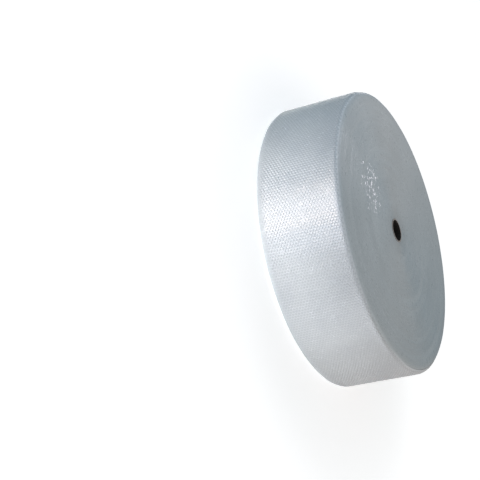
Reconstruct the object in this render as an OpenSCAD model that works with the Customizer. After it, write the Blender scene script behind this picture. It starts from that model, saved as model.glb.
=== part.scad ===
// Bubble wrap roll: a wide web of small-bubble film wound on a kraft cardboard core.
// The roll stands on its lower end face. The core axis is Z and the lower end lies on z = 0.
// All lengths are in millimetres.

/* [Roll] */
// Outside diameter of the full roll, over the bubbles
roll_d = 1016; // [700:1:1250]
// Width of the web, which is the height of the standing roll
web_w = 305; // [250:1:610]
// Number of turns of film between the core and the outside
turns = 131; // [100:1:150]
// Rounding of the soft shoulder, where the outer turns sag at both ends
shoulder_r = 26; // [15:1:45]

/* [Turns] */
// Depth of the groove between two neighbouring turns on the end faces
groove = 1.4; // [0.8:0.1:2]
// Share of each turn's thickness that lies flat at the end faces
crest_share = 0.6; // [0.4:0.05:0.7]
// Length of the loose tail of the web round the roll, as an angle
tail_angle = 70; // [40:1:80]

/* [Bubbles] */
// Distance between neighbouring bubbles across the web
bubble_pitch = 10.55; // [9:0.05:14]
// Height of a bubble column above the film between the columns
bubble_h = 2.2; // [1.2:0.1:3]

/* [Core] */
// Bore of the kraft core, which fits a 3 inch dispenser shaft
core_bore = 76.2; // [50:0.1:102]
// Wall thickness of the kraft core
core_wall = 5; // [3:0.5:8]

/* [Hidden] */
$fn = 96;
// Radius of the roll, and of the kraft core, where the first turn of film lies
roll_r = roll_d / 2;
core_r = core_bore / 2 + core_wall;
// Thickness of one turn of film as it is wound
turn_t = (roll_r - core_r) / turns;
// Half of the web, and half of the straight part of the curved side
half_w = web_w / 2;
side_h = half_w - shoulder_r;
// Whole number of bubble columns that fit on the straight part
columns = floor(2 * side_h / bubble_pitch);
column_w = 2 * side_h / columns;
film_c = [0.86, 0.88, 0.92];
kraft_c = [0.62, 0.47, 0.32];

// Height of the end face above the middle of the web at radius r
function end_z(r) =
    r <= roll_r - shoulder_r ? half_w
    : side_h + sqrt(max(0, pow(shoulder_r, 2) - pow(r - roll_r + shoulder_r, 2)));

// Radius at a share s of the thickness of turn k
function turn_r(k, s) = core_r + (k + s) * turn_t;

// One turn at the upper end: the groove, then the flat of the film's cut edge
function turn_pts(k) = [
    [turn_r(k, 0), end_z(turn_r(k, 0)) - groove],
    [turn_r(k, 0.5 - crest_share / 2), end_z(turn_r(k, 0.5 - crest_share / 2))],
    [turn_r(k, 0.5 + crest_share / 2), end_z(turn_r(k, 0.5 + crest_share / 2))]
];

// One column of bubbles on the curved side, seen in section
function column_pts(i) = [
    [roll_r - bubble_h, side_h - i * column_w],
    [roll_r - 0.3 * bubble_h, side_h - (i + 0.2) * column_w],
    [roll_r, side_h - (i + 0.5) * column_w],
    [roll_r - 0.3 * bubble_h, side_h - (i + 0.8) * column_w]
];

// The bubble columns from the upper to the lower end of the straight part
side_pts = concat(
    [for (i = [0:columns - 1]) each column_pts(i)],
    [[roll_r - bubble_h, -side_h]]
);

// Section of the wound film from the core to the outside
section_pts = concat(
    [for (k = [0:turns - 1]) each turn_pts(k)],
    side_pts,
    [for (k = [turns - 1:-1:0]) let (p = turn_pts(k))
        each [[p[2][0], -p[2][1]], [p[1][0], -p[1][1]], [p[0][0], -p[0][1]]]]
);

// The free end of the web: the last part of the outer turn, which lifts by one
// thickness of film towards its cut edge
module tail() {
    translate([0, turn_t, 0])
        rotate([0, 0, 90])
            rotate_extrude(angle = tail_angle)
                polygon(concat(
                    side_pts,
                    [[roll_r - 3 * turn_t, -side_h], [roll_r - 3 * turn_t, side_h]]
                ));
}

// The wound film, one solid: its turns show on the end faces and its bubble columns on the side
module film_roll() {
    color(film_c)
    translate([0, 0, half_w])
    union() {
        rotate_extrude()
            polygon(section_pts);
        tail();
    }
}

// The kraft core: a plain wound paper tube, as long as the web is wide
module core_tube() {
    color(kraft_c)
    rotate_extrude()
        translate([core_bore / 2, 0])
            square([core_wall, web_w]);
}

film_roll();
core_tube();
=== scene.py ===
"""Bubble wrap roll: the looks of the film, its bubbles, its turns and the kraft core.

The roll stands on its lower end face. Z is the core's axis, and the free end of the web
lies at the back of the roll, on its +Y side. All lengths here are in metres.
"""
import math

import bpy
import numpy as np
from mathutils import Matrix, Vector


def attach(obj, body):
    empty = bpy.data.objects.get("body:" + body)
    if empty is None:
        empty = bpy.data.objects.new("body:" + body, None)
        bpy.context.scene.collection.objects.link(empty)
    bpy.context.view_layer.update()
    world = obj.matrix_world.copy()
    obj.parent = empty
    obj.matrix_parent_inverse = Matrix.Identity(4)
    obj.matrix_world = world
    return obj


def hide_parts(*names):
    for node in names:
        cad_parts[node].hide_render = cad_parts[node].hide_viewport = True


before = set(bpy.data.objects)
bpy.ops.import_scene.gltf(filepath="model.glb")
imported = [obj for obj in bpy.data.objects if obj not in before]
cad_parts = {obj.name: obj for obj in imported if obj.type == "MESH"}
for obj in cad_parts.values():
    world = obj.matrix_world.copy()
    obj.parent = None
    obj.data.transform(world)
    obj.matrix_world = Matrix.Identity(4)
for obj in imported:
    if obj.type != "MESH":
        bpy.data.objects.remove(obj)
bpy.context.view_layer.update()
rng = np.random.default_rng(12)

# Sizes, as in the part
ROLL_R = 0.508
WEB_W = 0.305
HALF_W = WEB_W / 2
CORE_R = 0.0431
TURNS = 131
TURN_T = (ROLL_R - CORE_R) / TURNS
SHOULDER_R = 0.026
SIDE_H = HALF_W - SHOULDER_R

# The outer turn: quads round the roll and points across the web
SIDE_QUADS = 720
WEB_POINTS = 61
# Its slow and quick waves round the roll: their depth, and the quads over which they change
SLOW_WAVE = (0.0009, 60)
QUICK_WAVE = (0.0004, 14)
# How the web's edge turns down: steps along the web and down from its surface
EDGE_TURN = ((0.0006, 0.0003), (0.0006, 0.0016))
# Near the web's edges the bubbles get lower, down to this share of their height
EDGE_FADE = 0.018
EDGE_LEFT = 0.2

# The bubbles: rows across the web, every second row shifted by half a pitch
BUBBLE_H = 0.0033
# Half a bubble's width round the roll and across the web: the tight outer turn draws it oval
BUBBLE_R_AROUND = 0.0045
BUBBLE_R_ACROSS = 0.0051
ROWS = 340
ROW_PITCH = 0.01055
PER_ROW = 28
# One bubble's rings of points, from its foot up: shares of its radius and of its height
RING_R = (1.0, 0.91, 0.74, 0.45)
RING_H = (0.0, 0.60, 0.92, 0.985)
RING_POINTS = 9
# A bubble's foot reaches a little into the web
FOOT = 0.0002
# How single bubbles differ: place round the roll, height, width and tilt
PLACE_SPREAD = 0.00025
HEIGHT_SPREAD = 0.05
HEIGHT_LIMITS = (0.8, 1.08)
WIDTH_SPREAD = 0.015
TILT_SPREAD = 0.05
# Some bubbles have lost air: how many of them, and the share of their height that is left
FLAT_SHARE = 0.012
FLAT_HEIGHTS = (0.25, 0.6)
# The bubbles are joined into this many pieces round the roll
BUBBLE_PIECES = 4

# A turn's edge on the end face, from its groove outwards: shares of the turn's thickness, depths
# there, and how much of the uneven winding each point takes up
TURN_SHARES = np.array([0.0, 0.22, 0.62])
TURN_DEPTHS = np.array([0.0013, 0.0001, 0.0])
TURN_BACKS = np.array([0.5, 1, 1])
TURN_POINTS = 150
# The first turn starts flat against the core, at this share of its thickness
FLAT_START = 0.002
# Turns that the outer turn's edge covers
COVERED_TURNS = 3
# Uneven winding: how far groups of turns stand back, and how far one turn does along its length,
# each with the turns or points over which that changes, and two waves round the whole face
GROUP_BACK = (0.0005, 6)
FINE_BACK = (0.00035, 5)
ROUND_BACK = (0.0004, 0.0003)
# The last turns sink by this much a turn, over so many turns
SINK = 0.0022
SINK_TURNS = 1.6
# The end face follows the shoulder down over this share of its radius
SHOULDER_SHARE = 0.995


def mesh_object(name, verts, faces, material):
    """A smooth object from arrays of vertices and of faces that all have as many corners."""
    me = bpy.data.meshes.new(name)
    n, corners = faces.shape
    me.vertices.add(len(verts))
    me.vertices.foreach_set("co", np.asarray(verts, dtype=np.float32).ravel())
    me.loops.add(n * corners)
    me.loops.foreach_set("vertex_index", faces.astype(np.int32).ravel())
    me.polygons.add(n)
    me.polygons.foreach_set("loop_start", np.arange(0, n * corners, corners, dtype=np.int32))
    me.polygons.foreach_set("use_smooth", np.full(n, True))
    me.update(calc_edges=True)
    me.validate()
    me.materials.append(material)
    ob = bpy.data.objects.new(name, me)
    bpy.context.scene.collection.objects.link(ob)
    return ob


def grid_faces(rows, cols):
    """Quads of a grid of rows by cols vertices."""
    i = np.arange(rows - 1)[:, None]
    j = np.arange(cols - 1)[None, :]
    a = i * cols + j
    b = a + cols
    return np.stack([a, b, b + 1, a + 1], -1).reshape(-1, 4)


def smooth_noise(count, width):
    """Smooth random values, about 1 in size, that change over width steps and close to a ring."""
    raw = rng.normal(size=count)
    keep = np.exp(-((np.fft.rfftfreq(count) * width) ** 2) * 4)
    out = np.fft.irfft(np.fft.rfft(raw) * keep, n=count)
    return out / out.std()


# Shader nodes


def new_material(name):
    m = bpy.data.materials.new(name)
    m.use_nodes = True
    nt = m.node_tree
    return m, nt, nt.nodes["Principled BSDF"]


def add(nt, kind, **settings):
    """A new node of this kind, with these settings."""
    n = nt.nodes.new(kind)
    for key, value in settings.items():
        setattr(n, key, value)
    return n


def feed(nt, value, socket):
    """Gives a socket its value: another node's output, a number, a vector or a plain colour."""
    if isinstance(value, bpy.types.NodeSocket):
        nt.links.new(value, socket)
    elif socket.type == "RGBA":
        socket.default_value = (*value, 1)
    else:
        socket.default_value = value


def noise(nt, at, scale, detail, rough):
    n = add(nt, "ShaderNodeTexNoise")
    feed(nt, at, n.inputs["Vector"])
    feed(nt, scale, n.inputs["Scale"])
    feed(nt, detail, n.inputs["Detail"])
    feed(nt, rough, n.inputs["Roughness"])
    return n.outputs["Fac"]


def ramp(nt, source, low, high, lo_out, hi_out, kind="LINEAR"):
    """From lo_out, where source is low, to hi_out, where it is high."""
    n = add(nt, "ShaderNodeMapRange", interpolation_type=kind)
    feed(nt, source, n.inputs["Value"])
    feed(nt, low, n.inputs["From Min"])
    feed(nt, high, n.inputs["From Max"])
    feed(nt, lo_out, n.inputs["To Min"])
    feed(nt, hi_out, n.inputs["To Max"])
    return n.outputs["Result"]


def mix_colour(nt, share, a, b):
    """A colour, share of the way from a to b."""
    n = add(nt, "ShaderNodeMix", data_type="RGBA")
    feed(nt, share, n.inputs[0])
    feed(nt, a, n.inputs[6])
    feed(nt, b, n.inputs[7])
    return n.outputs[2]


def bump(nt, height, distance, strength):
    n = add(nt, "ShaderNodeBump")
    feed(nt, height, n.inputs["Height"])
    feed(nt, distance, n.inputs["Distance"])
    feed(nt, strength, n.inputs["Strength"])
    return n.outputs["Normal"]


def object_coords(nt):
    return add(nt, "ShaderNodeTexCoord").outputs["Object"]


def maths(nt, operation, a, b=0.0):
    n = add(nt, "ShaderNodeMath", operation=operation)
    feed(nt, a, n.inputs[0])
    feed(nt, b, n.inputs[1])
    return n.outputs[0]


def split(nt, vector):
    """The three parts x, y and z of a vector."""
    n = add(nt, "ShaderNodeSeparateXYZ")
    feed(nt, vector, n.inputs[0])
    return n.outputs


def join(nt, x, y=0.0, z=0.0):
    """A vector from its three parts."""
    n = add(nt, "ShaderNodeCombineXYZ")
    for value, socket in zip((x, y, z), n.inputs):
        feed(nt, value, socket)
    return n.outputs[0]


def axis_distance(nt, x, y):
    """How far a point lies from the core's axis."""
    return maths(nt, "SQRT", maths(nt, "ADD", maths(nt, "MULTIPLY", x, x), maths(nt, "MULTIPLY", y, y)))


def unit(nt, vector):
    n = add(nt, "ShaderNodeVectorMath", operation="NORMALIZE")
    feed(nt, vector, n.inputs[0])
    return n.outputs[0]


def blend_normal(nt, a, b, share):
    """A unit normal between a and b, share of the way to b."""
    n = add(nt, "ShaderNodeMix", data_type="VECTOR")
    feed(nt, share, n.inputs[0])
    feed(nt, a, n.inputs[4])
    feed(nt, b, n.inputs[5])
    return unit(nt, n.outputs[1])


# The film

# How far the light's soft turn over the shoulder reaches in on the end face
SOFT_END = 0.045
# A little of the form's outward part stays everywhere, so that its normal always has a direction
LEAST_OUT = 0.0001
# The side is a little barrelled: between two heights its lean goes from one value to the other
SIDE_LEANS = ((0.05, 0.15, -0.42, 0), (0.12, 0.28, 0, 0.32))
END_LEANS = ((0.0, 0.012, -0.8, 0), (0.286, 0.306, 0, 1.0))
# Between these heights the skin's share of the roll's round form changes
SKIN_HEIGHTS = (0.17, 0.28)
# Towards its two edges the web is pressed on the ends of the turns and looks like them, dull
# and greyer, in a wider band at the lower end, which carries the roll
PRESSED_LOW = (0.010, 0.034)
PRESSED_HIGH = (WEB_W - 0.010, WEB_W + 0.001)
PRESSED_SHARE = 0.8
PRESSED_COLOUR = (0.54, 0.575, 0.595)
# The skin mirrors more than one film would, as many of them lie together
SKIN_IOR = 2.0


def form_normal(nt, at, leans):
    """The normal of the roll's own round form, without the bubbles.

    Each lean is two heights, and how far the normal turns up below the first and above the second.
    """
    x, y, z = split(nt, at)
    r = axis_distance(nt, x, y)
    out = maths(nt, "MAXIMUM", maths(nt, "SUBTRACT", r, ROLL_R - SOFT_END), LEAST_OUT)
    share = maths(nt, "DIVIDE", maths(nt, "DIVIDE", out, SOFT_END), r)
    up = 0
    for low, high, lo_out, hi_out in leans:
        up = maths(nt, "ADD", ramp(nt, z, low, high, lo_out, hi_out, "SMOOTHSTEP"), up)
    return unit(nt, join(nt, maths(nt, "MULTIPLY", x, share), maths(nt, "MULTIPLY", y, share), up))


def film_material(name, dark, light, rough, deep, gloss, grain, skin=(0, 0), pressed_edges=True):
    """Film over many layers of film: a milky depth under a glossy skin.

    The depth's colour goes from dark to light in clouds, with a fine grain, and its light follows
    the roll's round form by the share deep. The skin follows the bubbles and crinkles, and the
    roll's form by the two shares in skin, low and high on the web.
    """
    m, nt, bsdf = new_material(name)
    at = object_coords(nt)
    z = split(nt, at)[2]
    cloud = ramp(nt, noise(nt, at, scale=7, detail=4, rough=0.55), 0.35, 0.65, 0, 1)
    speck = ramp(nt, noise(nt, at, scale=230, detail=2, rough=0.6), 0.3, 0.7, -grain, grain)
    colour = mix_colour(nt, maths(nt, "ADD", cloud, speck), dark, light)
    bsdf.inputs["Coat Weight"].default_value = gloss
    if pressed_edges:
        low = ramp(nt, z, *PRESSED_LOW, PRESSED_SHARE, 0)
        high = ramp(nt, z, *PRESSED_HIGH, 0, PRESSED_SHARE)
        pressed = maths(nt, "MAXIMUM", low, high)
        colour = mix_colour(nt, pressed, colour, PRESSED_COLOUR)
        feed(nt, ramp(nt, pressed, 0, 1, gloss, 0), bsdf.inputs["Coat Weight"])
    feed(nt, colour, bsdf.inputs["Base Color"])
    crinkle = bump(nt, noise(nt, at, scale=260, detail=4, rough=0.65), distance=0.0006, strength=0.5)
    depth = blend_normal(nt, crinkle, form_normal(nt, at, SIDE_LEANS + END_LEANS), deep)
    feed(nt, depth, bsdf.inputs["Normal"])
    bsdf.inputs["Roughness"].default_value = 0.7
    bsdf.inputs["Specular IOR Level"].default_value = 0.0
    sheen = noise(nt, at, scale=60, detail=3, rough=0.6)
    bsdf.inputs["Coat Roughness"].default_value = sum(rough) / 2
    feed(nt, ramp(nt, sheen, 0.3, 0.7, *rough), bsdf.inputs["Coat Roughness"])
    bsdf.inputs["Coat IOR"].default_value = SKIN_IOR
    round_share = ramp(nt, z, *SKIN_HEIGHTS, *skin)
    skin_normal = blend_normal(nt, crinkle, form_normal(nt, at, END_LEANS), round_share)
    feed(nt, skin_normal, bsdf.inputs["Coat Normal"])
    return m


# The end face's creases and rings: how quickly they change round the roll and outwards
CREASES_ROUND = 26
CREASES_OUT = 210
RINGS_OUT = 95
CREASE_COLOUR = (0.74, 0.77, 0.79)
RING_COLOUR = (0.34, 0.37, 0.39)
# Painted shade: the film's colour darkens close to the dark core, up to this distance from the axis
CORE_SHADE_R = 0.12
CORE_SHADE = 0.30
PAINTED_CORE_SHADE_COLOUR = (0.30, 0.31, 0.31)


def add_creases(m):
    """Pale short creases along the turns, in patches, darker rings, and painted shade close to the
    core.
    """
    nt = m.node_tree
    base = nt.nodes["Principled BSDF"].inputs["Base Color"]
    colour = base.links[0].from_socket
    at = object_coords(nt)
    x, y = split(nt, at)[:2]
    r = axis_distance(nt, x, y)
    round_x = maths(nt, "MULTIPLY", maths(nt, "DIVIDE", x, r), CREASES_ROUND)
    round_y = maths(nt, "MULTIPLY", maths(nt, "DIVIDE", y, r), CREASES_ROUND)
    along_turns = join(nt, round_x, round_y, maths(nt, "MULTIPLY", r, CREASES_OUT))
    crease = ramp(nt, noise(nt, along_turns, scale=1, detail=2, rough=0.5), 0.52, 0.72, 0, 0.6)
    patch = ramp(nt, noise(nt, at, scale=6, detail=2, rough=0.5), 0.45, 0.62, 0.1, 1)
    colour = mix_colour(nt, maths(nt, "MULTIPLY", crease, patch), colour, CREASE_COLOUR)
    rings = join(nt, maths(nt, "MULTIPLY", r, RINGS_OUT))
    ring = ramp(nt, noise(nt, rings, scale=1, detail=3, rough=0.6), 0.3, 0.7, 0.16, 0)
    colour = mix_colour(nt, ring, colour, RING_COLOUR)
    # Painted shade round the core: the colour is mixed towards a dark grey near the axis
    shade = ramp(nt, r, CORE_R, CORE_SHADE_R, CORE_SHADE, 0, "SMOOTHSTEP")
    feed(nt, mix_colour(nt, shade, colour, PAINTED_CORE_SHADE_COLOUR), base)


# Glints: the spot where most of them lie, how far they reach, and the way that they face
GLINT_SPOT = (-0.14, -0.17, WEB_W)
GLINT_REACH = 0.12
GLINT_FACING = (-0.375, -0.612, 0.695)
# Facets along one metre, the share of them that glint at the spot, and how far they turn at random
GLINT_FACETS = 140
GLINT_SHARE = 0.24
GLINT_TURN = 0.08
# A glint loses this share of the skin's roughness
GLINT_POLISH = 0.75


def add_glints(m):
    """Small facets of crumpled film that turn one way and catch the light."""
    nt = m.node_tree
    bsdf = nt.nodes["Principled BSDF"]
    at = object_coords(nt)
    cells = add(nt, "ShaderNodeTexVoronoi")
    feed(nt, at, cells.inputs["Vector"])
    feed(nt, GLINT_FACETS, cells.inputs["Scale"])
    random = cells.outputs["Color"]
    away = add(nt, "ShaderNodeVectorMath", operation="DISTANCE")
    feed(nt, at, away.inputs[0])
    feed(nt, GLINT_SPOT, away.inputs[1])
    near = ramp(nt, away.outputs["Value"], 0, GLINT_REACH, GLINT_SHARE, 0)
    facet = maths(nt, "GREATER_THAN", maths(nt, "ADD", split(nt, random)[0], near), 1.0)
    lean = add(nt, "ShaderNodeVectorMath", operation="MULTIPLY_ADD")
    feed(nt, random, lean.inputs[0])
    feed(nt, (GLINT_TURN,) * 3, lean.inputs[1])
    feed(nt, tuple(part - GLINT_TURN / 2 for part in GLINT_FACING), lean.inputs[2])
    skin = bsdf.inputs["Coat Normal"].links[0].from_socket
    feed(nt, blend_normal(nt, skin, lean.outputs[0], facet), bsdf.inputs["Coat Normal"])
    rough = bsdf.inputs["Coat Roughness"].links[0].from_socket
    left = maths(nt, "SUBTRACT", 1, maths(nt, "MULTIPLY", facet, GLINT_POLISH))
    feed(nt, maths(nt, "MULTIPLY", rough, left), bsdf.inputs["Coat Roughness"])


# The side film, on the web and the bubbles' walls, is lighter than the crowns: partly painted light
# against the shade that falls between the bubbles
web_mat = film_material(
    "film_side", dark=(0.66, 0.69, 0.72), light=(0.71, 0.735, 0.755), rough=(0.18, 0.30),
    deep=0.95, gloss=1.0, grain=0.2, skin=(0.7, 0.8),
)
bubble_mat = film_material(
    "film_bubble", dark=(0.545, 0.575, 0.605), light=(0.595, 0.625, 0.645), rough=(0.09, 0.17),
    deep=0.95, gloss=1.0, grain=0.2, skin=(0.56, 0.68),
)
end_mat = film_material(
    "film_end", dark=(0.497, 0.540, 0.554), light=(0.551, 0.598, 0.613), rough=(0.25, 0.40),
    deep=0.6, gloss=0.6, grain=1.6, pressed_edges=False,
)
add_creases(end_mat)
add_glints(end_mat)


def kraft_material():
    """Kraft board: the cut ends are pale grey-brown, and the faces along the tube, the bore's wall
    among them, are nearly black, painted shade for the deep bore.
    """
    m, nt, bsdf = new_material("kraft_core")
    fibre = noise(nt, object_coords(nt), scale=220, detail=4, rough=0.7)
    cut = mix_colour(nt, fibre, (0.34, 0.30, 0.27), (0.46, 0.42, 0.39))
    # Painted shade: the bore's wall is coloured nearly black, for the shade deep inside the tube
    bore_painted_shade = mix_colour(nt, fibre, (0.010, 0.009, 0.008), (0.030, 0.024, 0.020))
    facing = split(nt, add(nt, "ShaderNodeNewGeometry").outputs["True Normal"])
    feed(nt, mix_colour(nt, maths(nt, "ABSOLUTE", facing[2]), bore_painted_shade, cut), bsdf.inputs["Base Color"])
    bsdf.inputs["Roughness"].default_value = 0.85
    feed(nt, bump(nt, fibre, distance=0.0004, strength=0.6), bsdf.inputs["Normal"])
    return m


# The outer turn of the web: its path across the side and over both shoulders


def tail_offset(phi):
    """How far the outer turn stands out at angle phi past the cut edge, as a true spiral."""
    return TURN_T * (0.5 - phi / (2 * math.pi))


def edge_share(s):
    """1 over most of the web, and less towards its edges, where the bubbles are pressed flat."""
    x = np.clip((HALF_W - np.abs(s)) / EDGE_FADE, 0, 1)
    return EDGE_LEFT + (1 - EDGE_LEFT) * x * x * (3 - 2 * x)


def section(s, depth):
    """Radius, height and outward normal of the web, at this depth below its surface.

    The length s runs across the web from its middle.
    """
    over = np.maximum(np.abs(s) - SIDE_H, 0) / SHOULDER_R
    sign = np.sign(s)
    nr = np.cos(over)
    nz = np.sin(over) * sign
    reach = SHOULDER_R - depth
    r = ROLL_R - SHOULDER_R + reach * nr
    z = HALF_W + sign * (np.minimum(np.abs(s), SIDE_H) + reach * np.sin(over))
    return r, z, nr, nz


wave = sum(depth * smooth_noise(SIDE_QUADS, width) for depth, width in (SLOW_WAVE, QUICK_WAVE))


def side_wave(phi):
    """Slow and quick waves of the outer turn round the roll."""
    x = phi / (2 * math.pi) * SIDE_QUADS
    i = np.floor(x).astype(int) % SIDE_QUADS
    return wave[i] * (1 - (x % 1)) + wave[(i + 1) % SIDE_QUADS] * (x % 1)


def outwards(phi):
    """The direction out from the axis at angle phi past the cut edge of the web, which lies at +Y."""
    th = phi + math.pi / 2
    return np.cos(th), np.sin(th)


def build_web():
    phi = np.linspace(0, 2 * math.pi, SIDE_QUADS + 1)
    s = np.linspace(-HALF_W, HALF_W, WEB_POINTS)
    r, z, nr, nz = section(s, BUBBLE_H * edge_share(s))
    # Each edge of the web turns down towards the turn below it, so that no gap shows there
    for step in (0, -1):
        sign = np.sign(s[step])
        for along, down in EDGE_TURN:
            new_r = r[step] - sign * along * nz[step] - down * nr[step]
            new_z = z[step] + sign * along * nr[step] - down * nz[step]
            where = 0 if step == 0 else len(r)
            r = np.insert(r, where, new_r)
            z = np.insert(z, where, new_z)
            nr = np.insert(nr, where, nr[step])
            nz = np.insert(nz, where, nz[step])
    n = len(r)
    r = r[None, :] + (tail_offset(phi) + side_wave(phi))[:, None]
    x, y = outwards(phi[:, None])
    pts = np.stack([r * x, r * y, z[None, :] + np.zeros_like(r)], -1)
    # The cut edge of the web closes down to the turn below it
    first = np.arange(n)
    last = SIDE_QUADS * n + first
    edge = np.stack([first[:-1], first[1:], last[1:], last[:-1]], -1)
    faces = np.vstack([grid_faces(SIDE_QUADS + 1, n), edge])
    return mesh_object("film_web", pts.reshape(-1, 3), faces, web_mat)


def dome():
    """One bubble of unit size: its points, ring by ring up to the top, and its triangles."""
    seg = RING_POINTS
    turn = np.arange(seg) * 2 * math.pi / seg
    points = [(r * math.cos(a), r * math.sin(a), h) for r, h in zip(RING_R, RING_H) for a in turn]
    points.append((0.0, 0.0, 1.0))
    tris = []
    last = len(RING_R) - 1
    for ring in range(last):
        for k in range(seg):
            a = ring * seg + k
            b = ring * seg + (k + 1) % seg
            tris += [(a, b, b + seg), (a, b + seg, a + seg)]
    top = len(points) - 1
    tris += [(last * seg + k, last * seg + (k + 1) % seg, top) for k in range(seg)]
    return np.array(points), np.array(tris)


def build_bubbles():
    """All bubbles of the outer turn, joined into a few pieces round the roll."""
    local, tris = dome()
    # The walls of a bubble pass on the light of the web below, and its crown is clearer; the web's
    # lighter colour on the walls is partly painted light against the shade between the bubbles
    wall = np.arange(len(tris)) < 2 * RING_POINTS

    row, col = np.meshgrid(np.arange(ROWS), np.arange(PER_ROW), indexing="ij")
    row, col = row.ravel(), col.ravel()
    first = -(PER_ROW - 0.5) * ROW_PITCH / 2
    s = first + ROW_PITCH * (col + 0.5 * (row % 2))
    count = len(s)
    phi = (row + 0.5) * 2 * math.pi / ROWS + rng.normal(0, PLACE_SPREAD, count) / ROLL_R
    height = BUBBLE_H * edge_share(s) * rng.normal(1, HEIGHT_SPREAD, count).clip(*HEIGHT_LIMITS)
    flat = rng.random(count) < FLAT_SHARE
    height[flat] *= rng.uniform(*FLAT_HEIGHTS, flat.sum())
    width = rng.normal(1, WIDTH_SPREAD, count)
    tilt = rng.normal(0, TILT_SPREAD, (count, 2))

    r, z, nr, nz = section(s, BUBBLE_H * edge_share(s) + FOOT)
    r = r + tail_offset(phi) + side_wave(phi)
    x, y = outwards(phi)
    normal = np.stack([nr * x, nr * y, nz], -1)
    around = np.stack([-y, x, 0 * x], -1)
    across = np.cross(normal, around)
    pts = np.stack([r * x, r * y, z], -1)[:, None]
    u = local[None, :, 0] * BUBBLE_R_AROUND * width[:, None]
    v = local[None, :, 1] * BUBBLE_R_ACROSS * width[:, None]
    tilted = 1 + (tilt[:, :1] * local[None, :, 0] + tilt[:, 1:] * local[None, :, 1])
    h = local[None, :, 2] * height[:, None] * tilted
    for length, way in ((u, around), (v, across), (h, normal)):
        pts = pts + length[..., None] * way[:, None]

    made = []
    for k in range(BUBBLE_PIECES):
        p = pts[(row * BUBBLE_PIECES) // ROWS == k]
        f = tris[None] + (np.arange(len(p)) * len(local))[:, None, None]
        piece = mesh_object(f"film_bubbles_{k + 1}", p.reshape(-1, 3), f.reshape(-1, 3), bubble_mat)
        piece.data.materials.append(web_mat)
        piece.data.polygons.foreach_set("material_index", np.tile(wall, len(p)).astype(np.int32))
        made.append(piece)
    return made


# The ends


def end_height(r):
    """Height of the end face above the middle of the web."""
    over = np.clip(r - (ROLL_R - SHOULDER_R), 0, SHOULDER_R * SHOULDER_SHARE)
    return SIDE_H + np.sqrt(SHOULDER_R**2 - over**2)


def build_end(name, upper):
    """The cut edges of all turns, one spiral ridge from the core to the shoulder."""
    turns = TURNS - COVERED_TURNS
    steps = TURN_POINTS * (turns + 1) + 1
    k = np.arange(steps) / TURN_POINTS - 1
    th = k * 2 * math.pi
    depth, width = GROUP_BACK
    group = np.interp(k, np.arange(turns + 2), depth * smooth_noise(turns + 2, width))
    depth, width = FINE_BACK
    fine = depth * smooth_noise(steps, width)
    once, twice = ROUND_BACK
    broad = once * np.sin(th + rng.uniform(0, 6)) + twice * np.sin(2 * th + rng.uniform(0, 6))
    back = np.abs(group + broad) + np.abs(fine)
    # The last turns sink under the edge of the outer turn
    back += SINK * np.clip(k - (turns - SINK_TURNS), 0, SINK_TURNS)
    r = CORE_R + np.maximum(k[:, None] + TURN_SHARES, FLAT_START * TURN_SHARES) * TURN_T
    z = end_height(r) - TURN_DEPTHS - back[:, None] * TURN_BACKS
    # Each step of the spiral holds this turn's profile, and the next turn's groove closes it
    following = np.minimum(np.arange(steps) + TURN_POINTS, steps - 1)
    r = np.concatenate([r, (CORE_R + (k + 1) * TURN_T)[:, None]], 1)
    z = np.concatenate([z, z[following, :1]], 1)
    sign = 1 if upper else -1
    pts = np.stack([r * np.cos(th)[:, None], r * np.sin(th)[:, None], HALF_W + sign * z], -1)
    faces = grid_faces(steps, len(TURN_SHARES) + 1)
    if not upper:
        faces = faces[:, ::-1]
    return mesh_object(name, pts.reshape(-1, 3), faces, end_mat)


web = build_web()
bubbles = build_bubbles()
ends = [build_end("film_end_top", True), build_end("film_end_bottom", False)]
for piece in [web, *bubbles, *ends]:
    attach(piece, "root")
    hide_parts("film_roll")

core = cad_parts["core_tube"]
kraft = kraft_material()
for slot in core.material_slots:
    slot.material = kraft


# The floor

FLOOR_W = 40
# Just below the roll's lower end
FLOOR_Z = -0.0005
# To the camera the floor is white further off and a little less so round the roll, a painted shadow
# where its shadow lies: two distances from the core's axis, and the light that the floor gives there
PAINTED_SHADOW_REACH = (0.5, 1.2)
GLOW = (0.50, 0.66)


def floor_material():
    m, nt, bsdf = new_material("floor")
    bsdf.inputs["Base Color"].default_value = (0.85, 0.85, 0.85, 1)
    bsdf.inputs["Roughness"].default_value = 0.9
    bsdf.inputs["Specular IOR Level"].default_value = 0.0
    glow = add(nt, "ShaderNodeEmission")
    glow.inputs["Color"].default_value = (1.0, 0.985, 0.975, 1)
    away = add(nt, "ShaderNodeVectorMath", operation="LENGTH")
    feed(nt, object_coords(nt), away.inputs[0])
    # Painted shadow: the floor's white to the camera dims round the roll
    white = ramp(nt, away.outputs["Value"], *PAINTED_SHADOW_REACH, *GLOW, "SMOOTHSTEP")
    seen = add(nt, "ShaderNodeLightPath").outputs["Is Camera Ray"]
    feed(nt, maths(nt, "MULTIPLY", seen, white), glow.inputs["Strength"])
    both = add(nt, "ShaderNodeAddShader")
    feed(nt, bsdf.outputs[0], both.inputs[0])
    feed(nt, glow.outputs[0], both.inputs[1])
    feed(nt, both.outputs[0], nt.nodes["Material Output"].inputs["Surface"])
    return m


bpy.ops.mesh.primitive_plane_add(size=FLOOR_W, location=(0, 0, FLOOR_Z))
floor = bpy.context.object
floor.name = "floor"
floor.data.materials.append(floor_material())
# The key light stands low, as the roll stood tilted towards it, so the floor doesn't hold it back
floor.visible_shadow = False
floor.visible_diffuse = False
floor.visible_glossy = False

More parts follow.
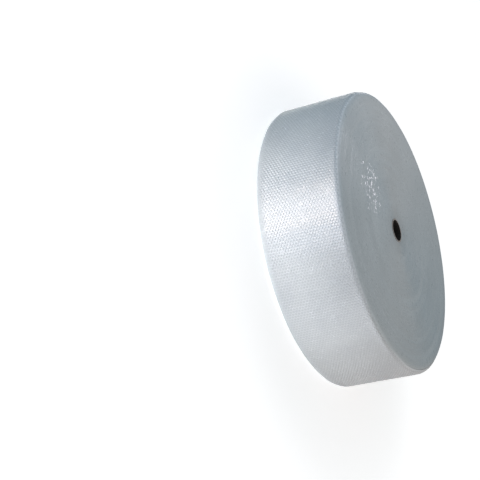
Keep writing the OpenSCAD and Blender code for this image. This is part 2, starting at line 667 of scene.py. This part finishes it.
# The camera stands low and is turned on its side, as the roll lies that way in the picture
CAM_AT = Vector((0.0, -4.44521, 1.74615))
CAM_FORWARD = Vector((-0.019119, 0.908387, -0.417694))
CAM_RIGHT = Vector((0.220066, 0.411348, 0.884513))
SENSOR = 36
LENS = 98.632

cam_data = bpy.data.cameras.new("camera")
cam_data.sensor_width = SENSOR
cam_data.lens = LENS
camera = bpy.data.objects.new("camera", cam_data)
bpy.context.scene.collection.objects.link(camera)
forward = CAM_FORWARD.normalized()
right = (CAM_RIGHT - CAM_RIGHT.dot(forward) * forward).normalized()
back = -forward
up = back.cross(right)
camera.matrix_world = Matrix.Translation(CAM_AT) @ Matrix((right, up, back)).transposed().to_4x4()
bpy.context.scene.camera = camera

# The lamps

MIDDLE = Vector((0, 0, HALF_W))
LAMP_FAR = 3.5


def area_light(name, at, aim, size, power, colour, mirrored=True):
    """A lamp of two widths. If it isn't mirrored, it has no reflection of its own."""
    data = bpy.data.lights.new(name, "AREA")
    data.shape = "RECTANGLE"
    data.size, data.size_y = size
    data.energy = power
    data.color = colour
    ob = bpy.data.objects.new(name, data)
    ob.location = at
    ob.rotation_euler = (aim - at).to_track_quat("-Z", "Y").to_euler()
    ob.visible_camera = False
    ob.visible_glossy = mirrored
    bpy.context.scene.collection.objects.link(ob)


def far_light(name, turn, height, size, power, colour=(1, 1, 1), mirrored=True):
    """A lamp far off: turn degrees from -Y towards -X, and height degrees above the web's middle."""
    turn, height = math.radians(turn), math.radians(height)
    level = math.cos(height)
    way = Vector((-math.sin(turn) * level, -math.cos(turn) * level, math.sin(height)))
    area_light(name, MIDDLE + LAMP_FAR * way, MIDDLE, size, power, colour, mirrored)


far_light("key", turn=20, height=-25, size=(0.4, 2.0), power=8.6, colour=(1.0, 0.80, 0.62))
far_light("key_wide", turn=35, height=-25, size=(1.5, 1.5), power=27, colour=(1.0, 0.87, 0.78))
far_light("soft_low", turn=0, height=-52, size=(2.5, 2.5), power=66, colour=(0.93, 0.98, 1.0))
far_light("soft_side", turn=-60, height=-8, size=(2.5, 2.5), power=29, colour=(0.90, 0.96, 1.0))
far_light("soft_front", turn=20, height=-8, size=(2.5, 2.5), power=40, colour=(0.83, 0.87, 1.0))
# Two near lamps light the upper end face, and its glints mirror the small one
NEAR_AT = MIDDLE + Vector((-0.98, 0.15, 1.05))
SPARK_AT = MIDDLE + Vector((-0.9, -0.2, 1.1))
NEAR_AIM = MIDDLE + Vector((-0.2, 0, 0))
area_light("near", NEAR_AT, NEAR_AIM, size=(0.5, 0.5), power=2.6, colour=(1.0, 0.94, 0.99))
area_light("spark", SPARK_AT, NEAR_AIM, size=(0.2, 0.2), power=0.75, colour=(1.0, 0.93, 0.99))
far_light("soft_back", turn=170, height=-29, size=(3.4, 3.4), power=58, colour=(1.0, 0.95, 0.90))
far_light("soft_back_side", turn=-155, height=-29, size=(3.0, 3.0), power=33, mirrored=False)
# The room is dim towards -X, so a lamp fills that side in softly
FILL_COLOUR = (1.0, 0.93, 0.86)
far_light("fill", turn=140, height=-20, size=(2.0, 2.0), power=27, colour=FILL_COLOUR, mirrored=False)

# The room is dimmer and bluer towards -X, the side that the picture shows uppermost
ROOM_DIM = (0.10, 0.225, 0.29)
ROOM_BRIGHT = (0.70, 0.63, 0.59)


def studio():
    """A room that lights the roll from all sides, plain white to the camera."""
    world = bpy.data.worlds.new("studio")
    world.use_nodes = True
    nt = world.node_tree
    room = nt.nodes["Background"]
    x = split(nt, add(nt, "ShaderNodeTexCoord").outputs["Generated"])[0]
    feed(nt, mix_colour(nt, ramp(nt, x, -0.9, 0.9, 0, 1), ROOM_DIM, ROOM_BRIGHT), room.inputs["Color"])
    room.inputs["Strength"].default_value = 1.0
    white = add(nt, "ShaderNodeBackground")
    white.inputs["Color"].default_value = (1, 1, 1, 1)
    white.inputs["Strength"].default_value = 1.0
    both = add(nt, "ShaderNodeMixShader")
    feed(nt, add(nt, "ShaderNodeLightPath").outputs["Is Camera Ray"], both.inputs[0])
    feed(nt, room.outputs[0], both.inputs[1])
    feed(nt, white.outputs[0], both.inputs[2])
    feed(nt, both.outputs[0], nt.nodes["World Output"].inputs["Surface"])
    return world


scene = bpy.context.scene
scene.world = studio()
scene.view_settings.view_transform = "Standard"
